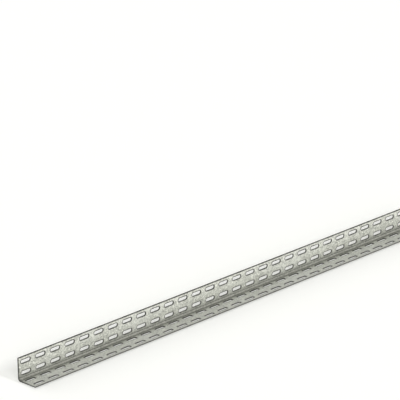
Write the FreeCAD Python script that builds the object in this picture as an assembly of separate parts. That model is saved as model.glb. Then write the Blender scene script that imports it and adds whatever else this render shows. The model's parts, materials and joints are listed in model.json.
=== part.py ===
"""Slotted steel angle bar, cold-formed from one strip of galvanised sheet.

Two equal legs meet at right angles in a rounded bend, the heel. Each leg carries rows of long
round-ended bolt slots on a regular pitch. The bar lies as it would on a floor: one leg flat on
the floor, the other upright along its back edge.

Frame: X runs along the bar, Y from the lying leg's free edge to the upright leg, Z up. The origin
is under the middle of the lying leg, at half the bar's length, on the plane that the bar rests on.
All sizes are in millimetres.
"""

import FreeCAD
import Part

import math
import os

# The strip and its section
BAR_LENGTH = 1200.0
UPRIGHT_LEG = 50.0
LYING_LEG = 50.0
SHEET = 2.0
INSIDE_BEND_RADIUS = 4.0

# The slots, the same in both legs
SLOT_LENGTH = 25.0
SLOT_WIDTH = 7.0
SLOT_PITCH = 40.0
EDGE_TO_OUTER_ROW = 11.0
ROW_SPACING = 24.0

# Worked out from the sizes above
OUTSIDE_BEND_RADIUS = INSIDE_BEND_RADIUS + SHEET
BACK_FACE_Y = LYING_LEG / 2
FRONT_EDGE_Y = -LYING_LEG / 2
NEAR_END_X = -BAR_LENGTH / 2

ORIGIN = FreeCAD.Vector(0, 0, 0)
ALONG_BAR = FreeCAD.Vector(1, 0, 0)


def section_point(y, z):
    """A point of the bar's section, which is drawn at the bar's near end."""
    return FreeCAD.Vector(NEAR_END_X, y, z)


def straight(start, end):
    """Straight edge of the section between two (y, z) points."""
    return Part.LineSegment(section_point(*start), section_point(*end)).toShape()


def heel_arc(radius):
    """Quarter arc of the heel, about the centre that its inside and outside faces share."""
    centre_y = BACK_FACE_Y - OUTSIDE_BEND_RADIUS
    centre_z = OUTSIDE_BEND_RADIUS
    halfway = radius * math.sqrt(0.5)
    on_lying_leg = section_point(centre_y, centre_z - radius)
    middle = section_point(centre_y + halfway, centre_z - halfway)
    on_upright_leg = section_point(centre_y + radius, centre_z)
    return Part.Arc(on_lying_leg, middle, on_upright_leg).toShape()


def angle_section():
    """The L-shaped section as one face: sheet of even thickness, rounded in and out at the heel."""
    bend_y = BACK_FACE_Y - OUTSIDE_BEND_RADIUS
    bend_z = OUTSIDE_BEND_RADIUS
    inside_y = BACK_FACE_Y - SHEET
    outline = Part.Wire(
        [
            straight((FRONT_EDGE_Y, 0), (bend_y, 0)),
            heel_arc(OUTSIDE_BEND_RADIUS),
            straight((BACK_FACE_Y, bend_z), (BACK_FACE_Y, UPRIGHT_LEG)),
            straight((BACK_FACE_Y, UPRIGHT_LEG), (inside_y, UPRIGHT_LEG)),
            straight((inside_y, UPRIGHT_LEG), (inside_y, bend_z)),
            heel_arc(INSIDE_BEND_RADIUS),
            straight((bend_y, SHEET), (FRONT_EDGE_Y, SHEET)),
            straight((FRONT_EDGE_Y, SHEET), (FRONT_EDGE_Y, 0)),
        ]
    )
    return Part.Face(outline)


def slot_punch():
    """Round-ended punch, long along X, that passes up through sheet lying on the plane Z = 0.

    Its stroke starts one sheet thickness below the sheet and ends as far above it.
    """
    radius = SLOT_WIDTH / 2
    arc_centre = SLOT_LENGTH / 2 - radius
    tip = SLOT_LENGTH / 2

    def outline_point(x, y):
        return FreeCAD.Vector(x, y, -SHEET)

    front_left = outline_point(-arc_centre, -radius)
    front_right = outline_point(arc_centre, -radius)
    back_left = outline_point(-arc_centre, radius)
    back_right = outline_point(arc_centre, radius)
    outline = Part.Wire(
        [
            Part.LineSegment(front_left, front_right).toShape(),
            Part.Arc(front_right, outline_point(tip, 0), back_right).toShape(),
            Part.LineSegment(back_right, back_left).toShape(),
            Part.Arc(back_left, outline_point(-tip, 0), front_left).toShape(),
        ]
    )
    return Part.Face(outline).extrude(FreeCAD.Vector(0, 0, 3 * SHEET))


def slot_stations():
    """X of every slot centre: as many whole pitches as the bar holds, centred on its length."""
    count = int(round(BAR_LENGTH / SLOT_PITCH, 6))
    first = -(count - 1) * SLOT_PITCH / 2
    return [first + index * SLOT_PITCH for index in range(count)]


def rows_from_heel(leg):
    """How far each slot row of a leg lies from the heel's outer face, outer row first.

    Rows follow each other inwards from the free edge. The last keeps flat metal of at least one
    sheet thickness between its slots and the bend.
    """
    innermost = OUTSIDE_BEND_RADIUS + SHEET + SLOT_WIDTH / 2
    rows = []
    row = leg - EDGE_TO_OUTER_ROW
    while row >= innermost:
        rows.append(row)
        row -= ROW_SPACING
    return rows


def punches():
    """One punch for every slot of both legs, in place."""
    through_lying = slot_punch()
    through_upright = slot_punch().rotated(ORIGIN, ALONG_BAR, 90)
    placed = []
    for station in slot_stations():
        for row in rows_from_heel(LYING_LEG):
            placed.append(through_lying.translated(FreeCAD.Vector(station, BACK_FACE_Y - row, 0)))
        for row in rows_from_heel(UPRIGHT_LEG):
            placed.append(through_upright.translated(FreeCAD.Vector(station, BACK_FACE_Y, row)))
    return placed


def angle_bar():
    """The whole bar: its section drawn out along X, then every slot punched."""
    blank = angle_section().extrude(ALONG_BAR * BAR_LENGTH)
    return blank.cut(punches())


def main():
    os.makedirs("parts", exist_ok=True)
    bar = angle_bar()
    print("solids", len(bar.Solids), "valid", bar.isValid(), "volume mm3", round(bar.Volume, 1))
    print("slots in a row", len(slot_stations()), "rows from the heel", rows_from_heel(LYING_LEG))
    bar.exportStep("parts/angle_bar.step")


main()
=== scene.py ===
# %% [markdown]
# A slotted angle bar starts as a long strip of galvanised sheet. A press punches rows of slots
# in it, rollers fold it to a right angle, and a shear cuts it to length. This lesson makes the
# visible bar the same way: a flat strip with its slots, carried through the fold by one formula.
# The measured model comes first. It is the fixed frame that every later step reads its sizes from.

# %% Load the frame
import json
import math

import bpy
import numpy as np
from mathutils import Matrix, Vector


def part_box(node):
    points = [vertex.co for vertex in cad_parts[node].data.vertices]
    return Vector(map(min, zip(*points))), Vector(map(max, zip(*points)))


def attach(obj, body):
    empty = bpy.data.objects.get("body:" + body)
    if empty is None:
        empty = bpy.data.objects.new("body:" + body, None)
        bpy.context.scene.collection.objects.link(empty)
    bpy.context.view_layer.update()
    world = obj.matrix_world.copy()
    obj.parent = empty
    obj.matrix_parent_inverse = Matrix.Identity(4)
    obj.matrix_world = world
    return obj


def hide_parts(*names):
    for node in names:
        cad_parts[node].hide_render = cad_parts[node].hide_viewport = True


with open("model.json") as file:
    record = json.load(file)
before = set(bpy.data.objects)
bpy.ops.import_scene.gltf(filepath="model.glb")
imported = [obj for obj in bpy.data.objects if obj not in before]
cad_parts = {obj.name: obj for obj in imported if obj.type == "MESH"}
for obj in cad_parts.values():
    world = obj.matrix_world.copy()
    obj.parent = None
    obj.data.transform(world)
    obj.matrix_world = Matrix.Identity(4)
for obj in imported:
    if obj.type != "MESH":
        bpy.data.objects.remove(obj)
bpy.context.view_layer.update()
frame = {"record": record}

# %% [markdown]
# The bar's outer sizes come from the frame's box, and the slots' sizes from the bolt pattern that
# the record states, so nothing here has to be measured twice. Only the sheet's thickness and the
# bend's inside radius are written out, because no mount states them.

# %% Sizes in metres
MM = 0.001
SHEET = 2.0 * MM
INSIDE_BEND = 4.0 * MM
OUTSIDE_BEND = INSIDE_BEND + SHEET

low, high = (np.array(corner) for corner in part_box("angle_bar"))
bolts = next(m for m in frame["record"]["mounts"] if m["name"] == "lying_slots_start")
PITCH = bolts["dims"]["spacing_x_mm"] * MM
ROW_SPACING = bolts["dims"]["spacing_y_mm"] * MM
SLOT_RADIUS = bolts["dims"]["hole_r_mm"] * MM
ARC_CENTRE = bolts["dims"]["slot_length_mm"] * MM / 2 - SLOT_RADIUS

LENGTH, LYING_LEG, UPRIGHT_LEG = high - low
ROWS_FROM_HEEL = high[1] - bolts["pos_m"][1] + np.array([-0.5, 0.5]) * ROW_SPACING
print("pitch", PITCH, "rows from the heel", np.round(ROWS_FROM_HEEL, 4))

# %% [markdown]
# Before the fold, a point of the sheet has three plain coordinates: x along the bar, s across the
# strip from the upright leg's free edge to the lying leg's, and n into the sheet from the face
# that ends up inside the corner. The bend takes up the length of its middle layer.

# %% The flat strip
BEND_ARC = (INSIDE_BEND + SHEET / 2) * math.pi / 2
BEND_START = UPRIGHT_LEG - OUTSIDE_BEND
BEND_END = BEND_START + BEND_ARC
STRIP_WIDTH = BEND_END + LYING_LEG - OUTSIDE_BEND

upright_rows = UPRIGHT_LEG - ROWS_FROM_HEEL[::-1]
lying_rows = BEND_END + ROWS_FROM_HEEL - OUTSIDE_BEND
rows = np.concatenate([upright_rows, lying_rows])
column_count = int(round(LENGTH / PITCH, 6))
columns = (np.arange(column_count) - (column_count - 1) / 2) * PITCH
print("strip width", round(STRIP_WIDTH, 5), "columns", column_count, "rows at", np.round(rows, 5))

# %% [markdown]
# The fold is the one formula that turns the flat strip into the L. Over the upright leg, s runs
# down. Through the heel, s becomes an angle about the bend's centre, and n adds to the radius.
# Over the lying leg, s runs towards the free edge. Every point of every face goes through it.


# %% Fold the strip
def fold(strip):
    """Places (x, s, n) points of the flat strip on the L.

    Formula: in the bend, the angle is the share of the arc that s has passed, times a quarter
    turn, and the distance from the bend's centre is the inside radius plus n.
    """
    x, s, n = strip[:, 0], strip[:, 1], strip[:, 2]
    centre_y = high[1] - OUTSIDE_BEND
    centre_z = low[2] + OUTSIDE_BEND
    angle = (s - BEND_START) / BEND_ARC * math.pi / 2
    radius = INSIDE_BEND + n
    on_upright = s <= BEND_START
    on_lying = s >= BEND_END
    y = np.where(on_upright, centre_y + radius, centre_y + radius * np.cos(angle))
    y = np.where(on_lying, centre_y - (s - BEND_END), y)
    z = np.where(on_upright, high[2] - s, centre_z - radius * np.sin(angle))
    z = np.where(on_lying, centre_z - radius, z)
    return np.stack([x, y, z], axis=-1)


corners = np.array([[0, 0, 0], [0, 0, SHEET], [0, STRIP_WIDTH, 0], [0, STRIP_WIDTH, SHEET]])
print("the strip's two edges, folded\n", np.round(fold(corners), 4))

# %% [markdown]
# A punched or sheared edge isn't a plain corner. The tool first pulls the skin down into a small
# rounded roll-over, then cuts a straight wall, and leaves a tight corner on the far side. That
# makes one profile, which is carried along every slot and round the outline of the whole strip.
# It starts and ends on the flat skin, at the border of the band of painted shade beside the cut.

# %% The profile of a cut edge
ROLL_OVER_WIDTH = 0.5 * MM
ROLL_OVER_DEPTH = 0.35 * MM
TIGHT_CORNER = 0.08 * MM
ROLL_STEPS = 2
# Widths of the bands beside a slot and beside the strip's outline, which take painted shade.
SLOT_BAND = 2.7 * MM
EDGE_BAND = 3.0 * MM


def cut_profile(band):
    """Distance from the cut and depth in the sheet, from the inside skin to the outside one.

    Formula: the roll-over is a quarter of an ellipse, of the roll-over's width and depth.
    """
    turn = np.linspace(math.pi / 2, 0, ROLL_STEPS + 1)
    from_cut = ROLL_OVER_WIDTH * (1 - np.sin(turn))
    depth = SHEET - ROLL_OVER_DEPTH * (1 - np.cos(turn))
    tight_side = [[band, 0], [TIGHT_CORNER, 0], [0, TIGHT_CORNER]]
    return np.concatenate([tight_side, np.stack([from_cut, depth], axis=-1), [[band, SHEET]]])


slot_profile = cut_profile(SLOT_BAND)
edge_profile = cut_profile(EDGE_BAND)
WALL_STEP = 2  # The profile's step from its third point to its fourth is the straight wall.
print("profile in mm\n", np.round(edge_profile / MM, 2).tolist())

# %% [markdown]
# Round a slot, the profile follows an outline of two half circles and two straights. A little
# further out the rings have to end on a rectangle, the slot's cell, so that neighbouring cells
# share their points. Each outline point therefore has a partner on the rectangle: each half circle
# spreads over one end of the cell with the corners at 45 degrees, and the straights go across.

# %% Slot outline
ARC_STEPS = 8

arc = np.linspace(-90, 90, ARC_STEPS + 1)
# Lean is the angle out of the slot's long axis. Side is 1 at one end, -1 at the other, 0 between.
lean = np.concatenate([arc, [90], arc[::-1], [-90]])
side = np.concatenate([np.ones(len(arc)), [0], -np.ones(len(arc)), [0]])
OUTLINE_POINTS = len(lean)


def slot_ring(distance):
    """(x, s) of the slot's outline, pushed out by a distance along its own normal."""
    reach = SLOT_RADIUS + distance
    return side * (ARC_CENTRE + reach * np.cos(np.radians(lean))), reach * np.sin(np.radians(lean))


def cell_border(x_low, x_high, s_low, s_high):
    """(x, s) of the outline's partners on a cell, whose sides are given from the slot's centre.

    Formula: along the cell's ends, s goes with the lean up to 45 degrees and then stays on the
    long side, while x goes from the cell's end back to the slot's straight.
    """
    climb = np.clip(lean / 45, -1, 1)
    spread = np.clip((90 - np.abs(lean)) / 45, 0, 1)
    x_end = np.where(side > 0, x_high, -x_low)
    x = side * (ARC_CENTRE + spread * (x_end - ARC_CENTRE))
    return x, np.where(climb > 0, climb * s_high, -climb * s_low)


print("points round a slot", OUTLINE_POINTS)

# %% [markdown]
# The cells tile both flat legs, up to the bend and up to the band beside the strip's outline.
# All of them are worked out together. The array has one axis for the cells, one for the rings of
# the profile, and one round the slot. A value rides along with each point: how far it lies
# across the band of painted shade beside the cut, from 0 at the cut to 1 at the band's border
# and beyond.

# %% All punched cells as one array
end_border = LENGTH / 2 - EDGE_BAND
between_columns = (columns[1:] + columns[:-1]) / 2
column_borders = np.concatenate([[-end_border], between_columns, [end_border]])
row_low = np.array([EDGE_BAND, upright_rows.mean(), BEND_END, lying_rows.mean()])
row_high = np.array([upright_rows.mean(), BEND_START, lying_rows.mean(), STRIP_WIDTH - EDGE_BAND])

cell_row, cell_column = (a.ravel() for a in np.indices((len(rows), column_count)))
cell_x, cell_s = columns[cell_column], rows[cell_row]
border_x, border_s = cell_border(
    (column_borders[cell_column] - cell_x)[:, None],
    (column_borders[cell_column + 1] - cell_x)[:, None],
    (row_low[cell_row] - cell_s)[:, None],
    (row_high[cell_row] - cell_s)[:, None],
)
cell_count = len(cell_x)
rings = len(slot_profile) + 2
cells = np.zeros((cell_count, rings, OUTLINE_POINTS, 3))
cells[:, 1:-1, :, 0], cells[:, 1:-1, :, 1] = slot_ring(slot_profile[:, :1])
cells[:, 0, :, 0] = cells[:, -1, :, 0] = border_x
cells[:, 0, :, 1] = cells[:, -1, :, 1] = border_s
cells[..., 0] += cell_x[:, None, None]
cells[..., 1] += cell_s[:, None, None]
cells[..., 2] = np.concatenate([[0], slot_profile[:, 1], [SHEET]])[:, None]
ring_band = np.concatenate([[1], slot_profile[:, 0] / SLOT_BAND, [1]])
cells_band = np.broadcast_to(ring_band[:, None], cells.shape[:3])
print("slots", cell_count, "rings", rings, "points", cells_band.size)

# %% [markdown]
# Faces are only numbers. In a grid of points, each face joins a point, the next one along, and
# the same two in the next row. A grid that closes on itself wraps its last column to its first.


# %% Faces of a grid
def grid_quads(row_count, column_count, closed, flip):
    """Corner numbers of the quads of one grid, wrapped round if closed, and turned over if flip."""
    number = np.arange(row_count * column_count).reshape(row_count, column_count)
    if closed:
        number = np.concatenate([number, number[:, :1]], axis=1)
    quads = np.stack(
        [number[:-1, :-1], number[:-1, 1:], number[1:, 1:], number[1:, :-1]], axis=-1
    ).reshape(-1, 4)
    return quads[:, ::-1] if flip else quads


one_cell = grid_quads(rings, OUTLINE_POINTS, closed=True, flip=True)
first_number = np.arange(cell_count)[:, None, None] * rings * OUTLINE_POINTS
cell_quads = (one_cell + first_number).reshape(-1, 4)
# A cell has one ring more before the profile's first, so its wall comes one step later.
one_cell_wall = np.repeat(np.arange(rings - 1) == WALL_STEP + 1, OUTLINE_POINTS)
print("quads in the cells", len(cell_quads))

# %% [markdown]
# The heel joins the two punched legs. It has no holes, so it is a plain grid on each face, with
# the same x stations as the cells beside it and a few steps round the bend.

# %% The heel
BEND_STEPS = 12
SAME_PLACE_DIGITS = 7  # Places that agree to a tenth of a micron count as one.

stations = np.unique(np.round(cells[:column_count, 0, :, 0], SAME_PLACE_DIGITS))
bend_s = np.linspace(BEND_START, BEND_END, BEND_STEPS + 1)


def heel_face(depth):
    """Points (x, s, depth) of one face of the heel, x along the columns and s down the rows."""
    x, s = np.meshgrid(stations, bend_s)
    return np.stack([x, s, np.full_like(x, depth)], axis=-1)


heel_inside, heel_outside = heel_face(0), heel_face(SHEET)
heel_inside_quads = grid_quads(*heel_inside.shape[:2], closed=False, flip=True)
heel_outside_quads = grid_quads(*heel_outside.shape[:2], closed=False, flip=False)
print("stations along the bar", len(stations))

# %% [markdown]
# The strip's own outline is a cut as well: two slit edges and two sheared ends. The same profile
# is carried once round the whole rectangle. At a corner the two directions add up, which mitres
# the profile there. The ends pass through the bend, so they use the heel's steps too.

# %% The strip's outline
# From a row's middle to a cell's corner, at 45 degrees, go a quarter of the half circle's steps.
side_points = ARC_STEPS // 4 + 1
end_s = np.concatenate(
    [np.linspace(a, b, side_points) for a, b in zip(row_low, rows)]
    + [np.linspace(a, b, side_points) for a, b in zip(rows, row_high)]
    + [bend_s]
)
end_s = np.unique(np.round(end_s, SAME_PLACE_DIGITS))


def outline_side(x, s, out_x, out_s):
    """One side of the strip's outline, as rows of x, s and the direction that points out of it."""
    x, s = np.broadcast_arrays(x, s)
    return np.stack([x, s, np.full_like(x, out_x), np.full_like(x, out_s)], axis=-1)


path = np.concatenate(
    [
        outline_side(stations, end_s[0], 0.0, -1.0),
        outline_side(stations[-1], end_s, 1.0, 0.0),
        outline_side(stations[::-1], end_s[-1], 0.0, 1.0),
        outline_side(stations[0], end_s[::-1], -1.0, 0.0),
    ]
)
# Each corner is in two sides: the first keeps both directions, and the second is dropped.
last_of_side = np.cumsum([len(stations), len(end_s), len(stations), len(end_s)]) - 1
path[last_of_side, 2:] += path[(last_of_side + 1) % len(path), 2:]
path = np.delete(path, (last_of_side + 1) % len(path), axis=0)

edge = np.zeros((len(edge_profile), len(path), 3))
edge[..., :2] = path[:, :2] + path[:, 2:] * (EDGE_BAND - edge_profile[:, 0])[:, None, None]
edge[..., 2] = edge_profile[:, 1, None]
edge_band = np.broadcast_to(edge_profile[:, 0, None] / EDGE_BAND, edge.shape[:2])
edge_quads = grid_quads(*edge.shape[:2], closed=True, flip=False)
edge_wall = np.repeat(np.arange(len(edge_profile) - 1) == WALL_STEP, len(path))
print("points round the outline", len(path))

# %% [markdown]
# The four sets of points meet at shared places. Welding keeps one point for each place: the flat
# coordinates are rounded to a tenth of a micron and compared as whole rows.

# %% Weld the sets
strip_sets = [cells, heel_inside, heel_outside, edge]
quad_sets = [cell_quads, heel_inside_quads, heel_outside_quads, edge_quads]
starts = np.cumsum([0] + [s[..., 0].size for s in strip_sets[:-1]])
strip_points = np.concatenate([s.reshape(-1, 3) for s in strip_sets])
quads = np.concatenate([q + start for q, start in zip(quad_sets, starts)])
heel_points = heel_inside[..., 0].size + heel_outside[..., 0].size
heel_quads = len(heel_inside_quads) + len(heel_outside_quads)
band = np.concatenate([cells_band.ravel(), np.ones(heel_points), edge_band.ravel()])
cell_walls = np.tile(one_cell_wall, cell_count)
on_wall = np.concatenate([cell_walls, np.zeros(heel_quads, bool), edge_wall])

_, kept, number = np.unique(
    np.round(strip_points, SAME_PLACE_DIGITS), axis=0, return_index=True, return_inverse=True
)
strip_points, band, quads = strip_points[kept], band[kept], number.ravel()[quads]
print("points", len(strip_points), "triangles", len(quads) * 2)

# %% [markdown]
# Now the strip is folded, and the surface is tested. A closed surface has every edge in exactly
# two faces. Its faces all point outwards when the two run along their edge in opposite ways and
# the volume comes out positive, close to that of the measured solid.

# %% Fold and test
points = fold(strip_points)
corner = points[quads]
face_normals = np.cross(corner[:, 2] - corner[:, 0], corner[:, 3] - corner[:, 1]) / 2
volume = np.einsum("ij,ij->", corner.mean(axis=1), face_normals) / 3
runs = np.stack([quads, np.roll(quads, -1, axis=1)], axis=-1).reshape(-1, 2)
_, faces_of_edge = np.unique(np.sort(runs, axis=1), axis=0, return_counts=True)
_, same_way = np.unique(runs, axis=0, return_counts=True)
print("volume in cubic centimetres", round(volume * 1e6, 2))
print("edges not in two faces", (faces_of_edge != 2).sum(), "turned wrong", (same_way > 1).sum())

# %% [markdown]
# The arrays go into a mesh in one call each. Shading takes its normals from the faces round a
# point, weighted by their area, so that the large flat faces stay flat up to the tiny roll-over.
# The place across the band of painted shade, the place across the strip and the depth in the sheet
# become named attributes, which the materials read.


# %% Put the arrays into a mesh
def mesh_from_arrays(name, points, quads):
    """A new mesh object with these points and four-cornered faces, at the origin."""
    mesh = bpy.data.meshes.new(name)
    mesh.vertices.add(len(points))
    mesh.vertices.foreach_set("co", points.astype(np.float32).ravel())
    mesh.loops.add(quads.size)
    mesh.loops.foreach_set("vertex_index", quads.astype(np.int32).ravel())
    mesh.polygons.add(len(quads))
    mesh.polygons.foreach_set("loop_start", np.arange(0, quads.size, 4, dtype=np.int32))
    mesh.update(calc_edges=True)
    mesh.validate()
    piece = bpy.data.objects.new(name, mesh)
    bpy.context.scene.collection.objects.link(piece)
    return piece


bar = mesh_from_arrays("slotted_angle", points, quads)
point_normals = np.zeros_like(points)
np.add.at(point_normals, quads, face_normals[:, None, :])
point_normals /= np.linalg.norm(point_normals, axis=1, keepdims=True)
bar.data.normals_split_custom_set_from_vertices(point_normals)
bar.data.polygons.foreach_set("material_index", on_wall.astype(np.int32))
for name, values in (
    ("across_band", band),
    ("across_strip", strip_points[:, 1]),
    ("depth", strip_points[:, 2] / SHEET),
):
    layer = bar.data.attributes.new(name, "FLOAT", "POINT")
    layer.data.foreach_set("value", values.astype(np.float32))
print("attributes", [a.name for a in bar.data.attributes])

# %% [markdown]
# Materials are small networks of nodes. A few helpers keep each one short. The first two add a
# node and fill its sockets, either with a number or with a link from another node.


# %% Node helpers
def fill(tree, socket, value):
    """Puts a number or colour in a socket, or links another node's output to it."""
    if isinstance(value, bpy.types.NodeSocket):
        tree.links.new(value, socket)
    else:
        socket.default_value = value


def add_node(tree, kind, options=None, **sockets):
    """A new node with its options set and its named sockets filled, _ standing for a space."""
    node = tree.nodes.new(kind)
    for key, value in (options or {}).items():
        setattr(node, key, value)
    for key, value in sockets.items():
        fill(tree, node.inputs[key.replace("_", " ")], value)
    return node


# %% [markdown]
# The materials mostly do a few things with values: a bit of arithmetic, a weighted sum, a smooth
# step from one value to another, and a mix of two colours. A last helper reads an attribute of
# the bar, which is how a material knows where on the strip it is.


# %% Value and colour helpers
def calculate(tree, operation, first, second=0.0):
    """The result of one Math node on two values."""
    node = add_node(tree, "ShaderNodeMath", {"operation": operation})
    fill(tree, node.inputs[0], first)
    fill(tree, node.inputs[1], second)
    return node.outputs[0]


def weighted_sum(tree, *pairs):
    """The sum of several values, each times its own weight."""
    total = calculate(tree, "MULTIPLY", *pairs[0])
    for value, weight in pairs[1:]:
        total = calculate(tree, "ADD", total, calculate(tree, "MULTIPLY", value, weight))
    return total


def step(tree, value, start, end, before=0.0, after=1.0):
    """A smooth step: before where the value is under start, after where it is over end."""
    limits = dict(From_Min=start, From_Max=end, To_Min=before, To_Max=after)
    smooth = {"interpolation_type": "SMOOTHSTEP"}
    return add_node(tree, "ShaderNodeMapRange", smooth, Value=value, **limits).outputs["Result"]


def mix_colours(tree, share, first, second):
    """The first colour where share is 0, and the second where it is 1."""
    node = add_node(tree, "ShaderNodeMix", {"data_type": "RGBA"})
    # The Mix node has sockets for each kind of data. These are the share and the two colours.
    for number, value in ((0, share), (6, first), (7, second)):
        fill(tree, node.inputs[number], value)
    return node.outputs[2]


def read_attribute(tree, name):
    """The value of one of the bar's named attributes."""
    return add_node(tree, "ShaderNodeAttribute", {"attribute_name": name}).outputs["Fac"]


# %% [markdown]
# Two effects belong to the whole bar, on its faces and on its cut edges alike, so each is a group
# that is built once and placed in both materials with its own numbers. A group's sockets are made
# on its interface.


# %% Node groups
def new_group(name, inputs):
    """An empty node group: a Vector input, number inputs with start values, a Value output."""
    tree = bpy.data.node_groups.new(name, "ShaderNodeTree")
    tree.interface.new_socket("Vector", in_out="INPUT", socket_type="NodeSocketVector")
    for label, start in inputs.items():
        socket = tree.interface.new_socket(label, in_out="INPUT", socket_type="NodeSocketFloat")
        socket.default_value = start
    tree.interface.new_socket("Value", in_out="OUTPUT", socket_type="NodeSocketFloat")
    return tree, tree.nodes.new("NodeGroupInput").outputs, tree.nodes.new("NodeGroupOutput").inputs


def place_group(tree, group, **sockets):
    """The output of a group placed in a material."""
    return add_node(tree, "ShaderNodeGroup", {"node_tree": group}, **sockets).outputs[0]


# %% [markdown]
# Streaks are the fine lines that rollers and tools draw in metal. Noise has spots as wide as they
# are long. Where x is divided by a length before it goes in, each spot is drawn out along the bar
# that many times, and a step between two edges makes the lines clearer.

# %% Streaks
NOISE_DETAIL = 3.0
STREAK_EDGES = (0.3, 0.7)

streaks, given, result = new_group("streaks", {"Fineness": 900.0, "Length": 30.0})
squeeze = calculate(streaks, "DIVIDE", 1.0, given["Length"])
scaling = add_node(streaks, "ShaderNodeCombineXYZ", X=squeeze, Y=1.0, Z=1.0).outputs[0]
drawn_out = add_node(streaks, "ShaderNodeVectorMath", {"operation": "MULTIPLY"})
fill(streaks, drawn_out.inputs[0], given["Vector"])
fill(streaks, drawn_out.inputs[1], scaling)
noise = add_node(
    streaks,
    "ShaderNodeTexNoise",
    Vector=drawn_out.outputs[0],
    Scale=given["Fineness"],
    Detail=NOISE_DETAIL,
)
fill(streaks, result["Value"], step(streaks, noise.outputs["Fac"], *STREAK_EDGES))
print(streaks.name, "has", len(streaks.nodes), "nodes")

# %% [markdown]
# Clouds are the soft, uneven change of tone of a surface that has dulled in the air. A broad noise
# and a finer one are added by their shares, so the broad patches get a grain.

# %% Clouds
FINE_CLOUDS_PER_BROAD = 7.0
CLOUD_EDGES = (0.36, 0.64)

clouds, given, result = new_group("clouds", {"Scale": 40.0, "Fine Share": 0.4})
broad = add_node(clouds, "ShaderNodeTexNoise", Vector=given["Vector"], Scale=given["Scale"])
finer = calculate(clouds, "MULTIPLY", given["Scale"], FINE_CLOUDS_PER_BROAD)
fine = add_node(
    clouds, "ShaderNodeTexNoise", Vector=given["Vector"], Scale=finer, Detail=NOISE_DETAIL
)
fine_part = calculate(clouds, "MULTIPLY", fine.outputs["Fac"], given["Fine Share"])
broad_share = calculate(clouds, "SUBTRACT", 1.0, given["Fine Share"])
broad_part = calculate(clouds, "MULTIPLY", broad.outputs["Fac"], broad_share)
both = calculate(clouds, "ADD", broad_part, fine_part)
fill(clouds, result["Value"], step(clouds, both, *CLOUD_EDGES))
print(clouds.name, "has", len(clouds.nodes), "nodes")

# %% [markdown]
# The faces are zinc, and it doesn't look the same everywhere. A band beside every cut and a line
# on each side of the bend are painted dark: painted shade that outlines the cuts and the bend.
# Round the bend the coating stretched and lost its shine, which fades out up the upright leg and
# over the lying one, and over the same zone the zinc is painted darker, as painted shade in the
# bend and the inside corner. Each of these places becomes a mask, a value from 0 to 1 over the
# surface, worked out from the attributes. Masks keep the places apart from the colours, so that
# either can be changed alone.


# %% Where shade is painted on the zinc, and where it is dull
# Painted shade: the zinc beside every cut and along the bend's edges is made darker.
SHADE_SHARE_OF_BAND = 0.52
BAND_RAGGEDNESS = 0.12
EDGE_SHADE_ON_LYING_EDGE = 0.5
EDGE_SHADE_LEAST = 0.8
BEND_SHADE_LINE_WIDTH = 1.5 * MM
BEND_SHADE_LINE_STRENGTH = 0.65
# The dull zone is also painted darker: painted shade in the bend and the inside corner.
DULL_AND_SHADE_REACH_LYING = 8.0 * MM
DULL_AND_SHADE_REACH_UPRIGHT = 9.0 * MM


def distance_from(tree, value, centre):
    """How far a value lies from a centre, either way."""
    return calculate(tree, "ABSOLUTE", calculate(tree, "SUBTRACT", value, centre))


def bend_shade_line(tree, across, centre):
    """A soft line of painted shade along the bar, strongest at one place across the strip."""
    return step(tree, distance_from(tree, across, centre), 0.0, BEND_SHADE_LINE_WIDTH, BEND_SHADE_LINE_STRENGTH, 0.0)


def painted_edge_shade_mask(tree, unevenness, raggedness):
    """1 in the painted shade beside the cuts, less in its two lines at the bend's edges, else 0.

    Formula: a band ends where its place, plus a share of the raggedness, comes to 1. The bands
    get weaker from the upright leg's free edge to the lying leg's.
    """
    across = read_attribute(tree, "across_strip")
    band_place = read_attribute(tree, "across_band")
    ragged_place = weighted_sum(tree, (band_place, 1.0), (raggedness, BAND_RAGGEDNESS))
    shade_beside_cut = step(tree, ragged_place, SHADE_SHARE_OF_BAND, 1.0, 1.0, 0.0)
    fading = step(tree, across, 0.0, STRIP_WIDTH, 1.0, EDGE_SHADE_ON_LYING_EDGE)
    shade_beside_cut = calculate(tree, "MULTIPLY", shade_beside_cut, fading)
    upper_line = bend_shade_line(tree, across, BEND_START)
    lines = calculate(tree, "MAXIMUM", upper_line, bend_shade_line(tree, across, BEND_END))
    strength = step(tree, unevenness, 0.0, 1.0, EDGE_SHADE_LEAST, 1.0)
    return calculate(tree, "MULTIPLY", calculate(tree, "MAXIMUM", shade_beside_cut, lines), strength)


def dull_and_shade_mask(tree):
    """1 in the bend, falling to 0 some way up the upright leg and out on the lying leg."""
    across = read_attribute(tree, "across_strip")
    up = step(tree, across, BEND_START - DULL_AND_SHADE_REACH_UPRIGHT, BEND_START)
    out = step(tree, across, BEND_END, BEND_END + DULL_AND_SHADE_REACH_LYING, 1.0, 0.0)
    return calculate(tree, "MINIMUM", up, out)


dull_and_shade_zone = np.array([BEND_START - DULL_AND_SHADE_REACH_UPRIGHT, BEND_END + DULL_AND_SHADE_REACH_LYING])
print("dull zone across the strip, in mm", np.round(dull_and_shade_zone / MM, 1))

# %% [markdown]
# Hot zinc freezes into flat crystals two or three millimetres wide, the spangle. Each one has
# grown in its own direction, so it has its own tone, faces the light a little differently, and
# fine ribs cross it like the veins of a leaf. A Voronoi texture makes such cells, and its colour
# output is one random value for each cell. That value, taken as a direction, leans the cell's
# normal and gives the line along which a sine wave makes the ribs.

# %% Spangle
CRYSTALS_PER_METRE = 400.0
CRYSTAL_LEAN = 0.15
RIB_TURNS_PER_METRE = 14000.0
RANDOM_MIDDLE = (0.5, 0.5, 0.5)


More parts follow.
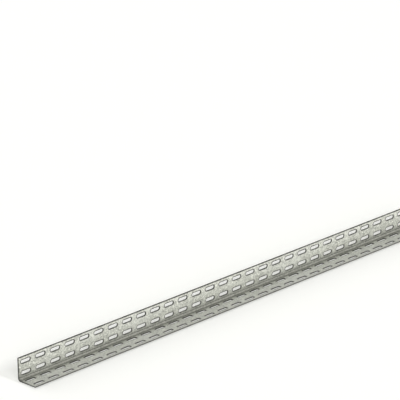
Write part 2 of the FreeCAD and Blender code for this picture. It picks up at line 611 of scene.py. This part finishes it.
def spangle(tree, place):
    """Tone and ribs of the zinc's crystals, both from 0 to 1, and the normal of each crystal.

    Formula: a crystal's direction is its random value less the middle of all such values. The
    ribs are half of one plus the sine of the place's dot product with that direction, times the
    turns per metre. The normal is the surface's own plus the direction times the lean, brought
    back to a length of one.
    """
    crystals = add_node(tree, "ShaderNodeTexVoronoi", Vector=place, Scale=CRYSTALS_PER_METRE)
    random_value = crystals.outputs["Color"]
    tone = add_node(tree, "ShaderNodeSeparateColor", Color=random_value).outputs["Red"]
    direction = add_node(tree, "ShaderNodeVectorMath", {"operation": "SUBTRACT"})
    fill(tree, direction.inputs[0], random_value)
    fill(tree, direction.inputs[1], RANDOM_MIDDLE)
    along = add_node(tree, "ShaderNodeVectorMath", {"operation": "DOT_PRODUCT"})
    fill(tree, along.inputs[0], place)
    fill(tree, along.inputs[1], direction.outputs["Vector"])
    turns = calculate(tree, "MULTIPLY", along.outputs["Value"], RIB_TURNS_PER_METRE)
    wave = calculate(tree, "SINE", turns)
    ribs = calculate(tree, "ADD", calculate(tree, "MULTIPLY", wave, 0.5), 0.5)
    lean = add_node(tree, "ShaderNodeVectorMath", {"operation": "SCALE"}, Scale=CRYSTAL_LEAN)
    fill(tree, lean.inputs[0], direction.outputs["Vector"])
    leaning = add_node(tree, "ShaderNodeVectorMath", {"operation": "ADD"})
    fill(tree, leaning.inputs[0], add_node(tree, "ShaderNodeNewGeometry").outputs["Normal"])
    fill(tree, leaning.inputs[1], lean.outputs["Vector"])
    normal = add_node(tree, "ShaderNodeVectorMath", {"operation": "NORMALIZE"})
    fill(tree, normal.inputs[0], leaning.outputs["Vector"])
    return tone, ribs, normal.outputs["Vector"]


print("crystals about", 1 / CRYSTALS_PER_METRE / MM, "mm wide")

# %% [markdown]
# A bar that has been stored and handled has two more marks. Other bars that slid over it left
# thin scratches: they are streaks turned aslant, with only their strongest parts kept. Damp air
# left a pale bloom in soft patches. The same pale colour is also painted over the lying leg,
# growing from the bend to near its free edge: painted light.

# %% Scratches, bloom and painted light on the lying leg
SCRATCH_TURN = (0.2, 0.9, 0.5)
SCRATCHES_SHOW_FROM = 0.85
BLOOM_SHOWS_FROM = 0.5
BLOOM_STRENGTH = 0.25
# Painted light: the lying leg is made paler from the bend towards its free edge.
LYING_LEG_LIGHT_STRENGTH = 0.4
LYING_LEG_LIGHT_FULL_FROM = STRIP_WIDTH - 20.0 * MM


def scratch_lines(tree, place):
    """1 in thin slanting lines and 0 elsewhere."""
    turned = add_node(tree, "ShaderNodeMapping", Vector=place, Rotation=SCRATCH_TURN).outputs[0]
    lines = place_group(tree, streaks, Vector=turned, Fineness=700.0, Length=60.0)
    return step(tree, lines, SCRATCHES_SHOW_FROM, 1.0)


def bloom_and_painted_light(tree, place):
    """How much the pale colour covers: its soft patches, plus painted light over the lying leg."""
    patches = place_group(tree, clouds, Vector=place, Scale=9.0, Fine_Share=0.3)
    patches = step(tree, patches, BLOOM_SHOWS_FROM, 1.0)
    # Painted light over the lying leg.
    painted_lying_light = step(tree, read_attribute(tree, "across_strip"), BEND_END, LYING_LEG_LIGHT_FULL_FROM)
    return weighted_sum(tree, (patches, BLOOM_STRENGTH), (painted_lying_light, LYING_LEG_LIGHT_STRENGTH))


print("film full from", round((LYING_LEG_LIGHT_FULL_FROM - BEND_END) / MM, 1), "mm past the bend")

# %% [markdown]
# Fresh zinc is bright, but it soon dulls to a warm, slightly olive grey with a soft sheen. Its
# spangle, the clouds of its tone and the faint streaks that rolling left each shift the tone, the
# roughness or the height a little. Each weight says how much one of them counts. The masks then
# bring in the bloom with the painted light on the lying leg, the dull zinc with its painted shade,
# and the painted shade beside the cuts and along the bend's edges, one over the other.

# %% Zinc on the faces
ZINC_LIGHT = (0.96, 0.97, 0.89, 1.0)
ZINC_DARK = (0.46, 0.467, 0.425, 1.0)
# The pale colour of both the bloom and the painted light on the lying leg.
ZINC_BLOOM_AND_LIGHT = (0.87, 0.88, 0.84, 1.0)
# Painted shade: the darker colours of the bend and the inside corner.
BEND_SHADE_LIGHT = (0.54, 0.546, 0.489, 1.0)
BEND_SHADE_DARK = (0.31, 0.314, 0.281, 1.0)
# Painted shade: the near-black colour beside the cuts and along the bend's edges.
PAINTED_SHADE_ZINC = (0.05, 0.05, 0.045, 1.0)
LIGHT_CRYSTAL_ROUGHNESS, DARK_CRYSTAL_ROUGHNESS = 0.28, 0.42
ZINC_METALLIC = 0.75
ZINC_BUMP_STRENGTH = 0.25
ZINC_RELIEF = 0.03 * MM


def make_zinc():
    """Dulled zinc: spangle, clouds, streaks, pale patches and a rougher bend, with painted light
    and painted shade.
    """
    material = bpy.data.materials.new("dulled_zinc")
    material.use_nodes = True
    tree = material.node_tree
    shader = tree.nodes["Principled BSDF"]
    place = add_node(tree, "ShaderNodeTexCoord").outputs["Object"]
    cloud = place_group(tree, clouds, Vector=place, Scale=35.0, Fine_Share=0.45)
    streak = place_group(tree, streaks, Vector=place, Fineness=900.0, Length=30.0)
    crystal, ribs, crystal_normal = spangle(tree, place)
    scratch, bloom_and_light, dull_and_shade = scratch_lines(tree, place), bloom_and_painted_light(tree, place), dull_and_shade_mask(tree)

    tone = weighted_sum(tree, (cloud, 0.05), (crystal, 0.85), (streak, 0.05), (ribs, 0.05))
    colour = mix_colours(tree, tone, ZINC_LIGHT, ZINC_DARK)
    # The bloom, and painted light on the lying leg.
    colour = mix_colours(tree, bloom_and_light, colour, ZINC_BLOOM_AND_LIGHT)
    # Painted shade in the bend and the inside corner, over the dull zinc.
    painted_bend_shade_colour = mix_colours(tree, tone, BEND_SHADE_LIGHT, BEND_SHADE_DARK)
    colour = mix_colours(tree, dull_and_shade, colour, painted_bend_shade_colour)
    raggedness = place_group(tree, clouds, Vector=place, Scale=150.0, Fine_Share=0.45)
    # Painted shade beside the cuts and along the bend's edges.
    colour = mix_colours(tree, painted_edge_shade_mask(tree, cloud, raggedness), colour, PAINTED_SHADE_ZINC)
    fill(tree, shader.inputs["Base Color"], colour)

    roughness = step(tree, tone, 0.0, 1.0, LIGHT_CRYSTAL_ROUGHNESS, DARK_CRYSTAL_ROUGHNESS)
    worn = weighted_sum(tree, (dull_and_shade, 0.15), (bloom_and_light, 0.2), (scratch, -0.08))
    fill(tree, shader.inputs["Roughness"], calculate(tree, "ADD", roughness, worn))
    fill(tree, shader.inputs["Metallic"], ZINC_METALLIC)
    height = weighted_sum(tree, (streak, 1.0), (crystal, 0.5), (ribs, 0.4), (scratch, -1.0))
    relief = dict(Strength=ZINC_BUMP_STRENGTH, Distance=ZINC_RELIEF)
    bump = add_node(tree, "ShaderNodeBump", Height=height, Normal=crystal_normal, **relief)
    fill(tree, shader.inputs["Normal"], bump.outputs["Normal"])
    return material


# %% [markdown]
# The walls of the slots and the edges of the strip are bare steel, because the sheet was coated
# before it was punched. Such a wall has two bands: a smooth, lighter one where the tool cut, and
# a rough, darker one where the metal broke. The depth attribute says where one ends. Both bands
# are near black, partly as bare steel and partly as painted shade on the walls. The lying leg's
# free edge faces the viewer and the front lamp, and it is painted a little lighter than the walls
# of the slots, a painted light with a colour of its own.

# %% Bare steel on the cuts
# These near-black colours are bare steel, darkened further as painted shade on the walls.
CUT_STEEL_WITH_SHADE = (0.04, 0.04, 0.037, 1.0)
BROKEN_STEEL_WITH_SHADE = (0.025, 0.025, 0.023, 1.0)
# Painted light: a lighter copy of the cut steel on the edge that faces the front lamp.
SLIT_STEEL_PAINTED_LIGHTER = (0.07, 0.07, 0.064, 1.0)
BREAK_DEPTH = 0.45
BREAK_FADE = 0.2
BREAK_RAGGEDNESS = 0.2
SLIT_FROM = STRIP_WIDTH - 1.0 * MM
SLIT_FULL_FROM = STRIP_WIDTH - 0.5 * MM
BROKEN_ROUGHNESS, CUT_ROUGHNESS = 0.85, 0.6
STEEL_METALLIC = 0.1
STEEL_SPECULAR = 0.1
STEEL_BUMP_STRENGTH = 0.3
STEEL_RELIEF = 0.05 * MM


def make_cut_steel():
    """Bare steel of a punched wall: lighter where the tool cut, darker where the metal broke."""
    material = bpy.data.materials.new("cut_steel")
    material.use_nodes = True
    tree = material.node_tree
    shader = tree.nodes["Principled BSDF"]
    place = add_node(tree, "ShaderNodeTexCoord").outputs["Object"]
    cloud = place_group(tree, clouds, Vector=place, Scale=200.0, Fine_Share=0.6)
    streak = place_group(tree, streaks, Vector=place, Fineness=2500.0, Length=1.0)
    depth = read_attribute(tree, "depth")
    ragged_depth = weighted_sum(tree, (depth, 1.0), (cloud, BREAK_RAGGEDNESS))
    cut_zone = step(tree, ragged_depth, BREAK_DEPTH, BREAK_DEPTH + BREAK_FADE)
    colour = mix_colours(tree, cut_zone, BROKEN_STEEL_WITH_SHADE, CUT_STEEL_WITH_SHADE)
    # Painted light on the lying leg's free edge.
    lit_lying_edge = step(tree, read_attribute(tree, "across_strip"), SLIT_FROM, SLIT_FULL_FROM)
    colour = mix_colours(tree, lit_lying_edge, colour, SLIT_STEEL_PAINTED_LIGHTER)
    fill(tree, shader.inputs["Base Color"], colour)
    roughness = step(tree, cut_zone, 0.0, 1.0, BROKEN_ROUGHNESS, CUT_ROUGHNESS)
    fill(tree, shader.inputs["Roughness"], roughness)
    fill(tree, shader.inputs["Metallic"], STEEL_METALLIC)
    fill(tree, shader.inputs["Specular IOR Level"], STEEL_SPECULAR)
    relief = dict(Strength=STEEL_BUMP_STRENGTH, Distance=STEEL_RELIEF)
    bump = add_node(tree, "ShaderNodeBump", Height=streak, **relief)
    fill(tree, shader.inputs["Normal"], bump.outputs["Normal"])
    return material


bar.data.materials.append(make_zinc())
bar.data.materials.append(make_cut_steel())
print("materials", [m.name for m in bar.data.materials])

# %% [markdown]
# The finished bar takes the measured node's place. It rides on the frame's one body.

# %% Tie the bar to the frame
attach(bar, "root")
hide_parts("angle_bar")
print(bar.name, "in the place of angle_bar, with", len(bar.data.polygons), "faces")

# %% [markdown]
# The stage is one pale floor in a white room whose ceiling is dimmer than its walls. To the
# camera both are plain white, and metal mirrors them. They get some extra light for that, which
# only rays from the camera, off a mirror or through glass find. It adds nothing to the light that
# dull surfaces scatter, so it doesn't wash out the shading of the bar.


# %% Light that only the camera and mirrors see
def seen_directly(tree):
    """1 for rays from the camera, off a mirror or through glass, and 0 for scattered light."""
    rays = add_node(tree, "ShaderNodeLightPath").outputs
    seen = calculate(tree, "MAXIMUM", rays["Is Camera Ray"], rays["Is Glossy Ray"])
    return calculate(tree, "MAXIMUM", seen, rays["Is Transmission Ray"])


# %% [markdown]
# Hardly any light gets under a real bar, so less is added to the floor there and in the first few
# millimetres beside it. That keeps the thin dark line where the bar touches the floor, and the
# grey that shows through the slots of the lying leg. Behind the bar, where the upright leg shades
# the floor from the front, the low part fades out over about eleven centimetres.

# %% Light added to the floor
FLOOR_LIFT = 0.26
LIFT_UNDER_BAR = 0.11
LIFT_IS_LOW_TO = 3.0 * MM
LIFT_IS_FULL_FROM = 8.0 * MM
SHADOW_STRETCH = 14.0


def lift_round_bar(tree):
    """The light added to the floor, by the distance past the bar's box.

    Formula: the bar lies centred, so the distance past an end is x without its sign less half the
    length. In front it is how far y lies below the box, and behind it is how far y lies above the
    box, over the stretch of the upright leg's shadow. The largest of the three counts.
    """
    place = add_node(tree, "ShaderNodeTexCoord").outputs["Object"]
    apart = add_node(tree, "ShaderNodeSeparateXYZ", Vector=place).outputs
    past_end = calculate(tree, "SUBTRACT", calculate(tree, "ABSOLUTE", apart["X"]), LENGTH / 2)
    in_front = calculate(tree, "SUBTRACT", -LYING_LEG / 2, apart["Y"])
    behind = calculate(tree, "SUBTRACT", apart["Y"], LYING_LEG / 2)
    behind = calculate(tree, "DIVIDE", behind, SHADOW_STRETCH)
    past_side = calculate(tree, "MAXIMUM", in_front, behind)
    past = calculate(tree, "MAXIMUM", past_end, past_side)
    return step(tree, past, LIFT_IS_LOW_TO, LIFT_IS_FULL_FROM, LIFT_UNDER_BAR, FLOOR_LIFT)


print("light added to the floor", FLOOR_LIFT, "and under the bar", LIFT_UNDER_BAR)

# %% [markdown]
# The floor itself is one flat face, large enough that its rim is never seen. It is matt and pale,
# and it still takes the lamps' light, so the bar's soft shadow stays on it.

# %% Floor
FLOOR_REACH = 20.0
FLOOR_COLOUR = (0.878, 0.882, 0.853, 1.0)
FLOOR_ROUGHNESS = 0.9
WHITE = (1.0, 1.0, 0.985, 1.0)

floor_corners = np.array([[-1, -1, 0], [1, -1, 0], [1, 1, 0], [-1, 1, 0]]) * FLOOR_REACH
floor = mesh_from_arrays("floor", floor_corners, np.array([[0, 1, 2, 3]]))
pale = bpy.data.materials.new("pale_floor")
pale.use_nodes = True
shader = pale.node_tree.nodes["Principled BSDF"]
shader.inputs["Base Color"].default_value = FLOOR_COLOUR
shader.inputs["Roughness"].default_value = FLOOR_ROUGHNESS
shader.inputs["Specular IOR Level"].default_value = 0.0
shader.inputs["Emission Color"].default_value = WHITE
tree = pale.node_tree
lift = calculate(tree, "MULTIPLY", seen_directly(tree), lift_round_bar(tree))
fill(tree, shader.inputs["Emission Strength"], lift)
floor.data.materials.append(pale)
print("floor reaches", FLOOR_REACH, "metres each way")

# %% [markdown]
# The room is the world's background, a sphere of light without any walls to build. Its strength
# is a step over the height of the direction looked in: full at the horizon, weaker overhead. A
# plain white dome would light the inside corner and the slots' walls too evenly.

# %% Room
WALL_LIGHT = 0.7
CEILING_SHARE = 0.45
WALLS_END, CEILING_STARTS = 0.1, 0.75

world = bpy.data.worlds.new("white_room")
bpy.context.scene.world = world
world.use_nodes = True
tree = world.node_tree
background = tree.nodes["Background"]
direction = add_node(tree, "ShaderNodeTexCoord").outputs["Generated"]
height = add_node(tree, "ShaderNodeSeparateXYZ", Vector=direction).outputs["Z"]
dimming = step(tree, height, WALLS_END, CEILING_STARTS, 1.0, CEILING_SHARE)
camera_sees = add_node(tree, "ShaderNodeLightPath").outputs["Is Camera Ray"]
level = step(tree, seen_directly(tree), 0.0, 1.0, WALL_LIGHT, 1.0)
level = calculate(tree, "MAXIMUM", calculate(tree, "MULTIPLY", level, dimming), camera_sees)
fill(tree, background.inputs["Color"], WHITE)
fill(tree, background.inputs["Strength"], level)
print("room light", WALL_LIGHT, "at the walls and", WALL_LIGHT * CEILING_SHARE, "overhead")

# %% [markdown]
# The light is a large soft source from the camera's side, a little above it, so the upright face
# is the brightest and the corner falls off gently. A second one stands behind. It lights the
# floor there, and the upright leg shades the lying one from it. Suns are used because they light
# all of a long bar alike.


# %% Lamps
def add_sun(name, azimuth, elevation, strength, softness):
    """A sun that shines from an azimuth and elevation in degrees, where azimuth 0 is the front."""
    light = bpy.data.lights.new(name, "SUN")
    light.energy = strength
    light.angle = math.radians(softness)
    lamp = bpy.data.objects.new(name, light)
    a, e = math.radians(azimuth), math.radians(elevation)
    towards_lamp = Vector((math.sin(a) * math.cos(e), -math.cos(a) * math.cos(e), math.sin(e)))
    lamp.rotation_euler = towards_lamp.to_track_quat("Z", "Y").to_euler()
    bpy.context.scene.collection.objects.link(lamp)
    print(name, "strength", strength, "height", elevation)


add_sun("front_light", azimuth=-35, elevation=22, strength=2.0, softness=40)
add_sun("back_light", azimuth=180, elevation=28, strength=1.6, softness=40)

# %% [markdown]
# The camera looks down on the bar from one front quarter. The slopes of the long edges in the
# photograph give its angles. From them come the camera's three axes: backwards, to the right and
# up, the last two turned by the photograph's slight roll.

# %% Camera axes
AZIMUTH, ELEVATION, ROLL = (math.radians(angle) for angle in (-44.94, 20.27, -1.04))

back_axis = Vector(
    (
        math.sin(AZIMUTH) * math.cos(ELEVATION),
        -math.cos(AZIMUTH) * math.cos(ELEVATION),
        math.sin(ELEVATION),
    )
)
level_right = Vector((math.cos(AZIMUTH), math.sin(AZIMUTH), 0))
right_axis = math.cos(ROLL) * level_right + math.sin(ROLL) * back_axis.cross(level_right)
up_axis = back_axis.cross(right_axis)
print("camera looks along", [round(-c, 3) for c in back_axis])

# %% [markdown]
# It stands far off with a long lens. The slots get smaller along the bar in the photograph, at a
# rate that gives the distance. The point of the picture where the near end of the heel shows then
# sets the camera's place.

# %% Camera place and lens
PICTURE = 400
FOCAL_PIXELS = 3427.0
HEEL_PIXEL = (18.1, 381.1)
HEEL_DISTANCE = 6.781
SENSOR_WIDTH = 36.0

heel = Vector((low[0], high[1], low[2]))
heel_right = (HEEL_PIXEL[0] - PICTURE / 2) / FOCAL_PIXELS * HEEL_DISTANCE
heel_up = (PICTURE / 2 - HEEL_PIXEL[1]) / FOCAL_PIXELS * HEEL_DISTANCE
stand = heel - heel_right * right_axis - heel_up * up_axis + HEEL_DISTANCE * back_axis

camera = bpy.data.objects.new("camera", bpy.data.cameras.new("camera"))
camera.data.sensor_width = SENSOR_WIDTH
camera.data.lens = FOCAL_PIXELS / PICTURE * SENSOR_WIDTH
turn = Matrix((right_axis, up_axis, back_axis)).transposed().to_4x4()
camera.matrix_world = Matrix.Translation(stand) @ turn
bpy.context.scene.collection.objects.link(camera)
bpy.context.scene.camera = camera
bpy.context.scene.view_settings.view_transform = "Standard"
print("camera at", [round(c, 3) for c in stand], "lens", round(camera.data.lens, 1))
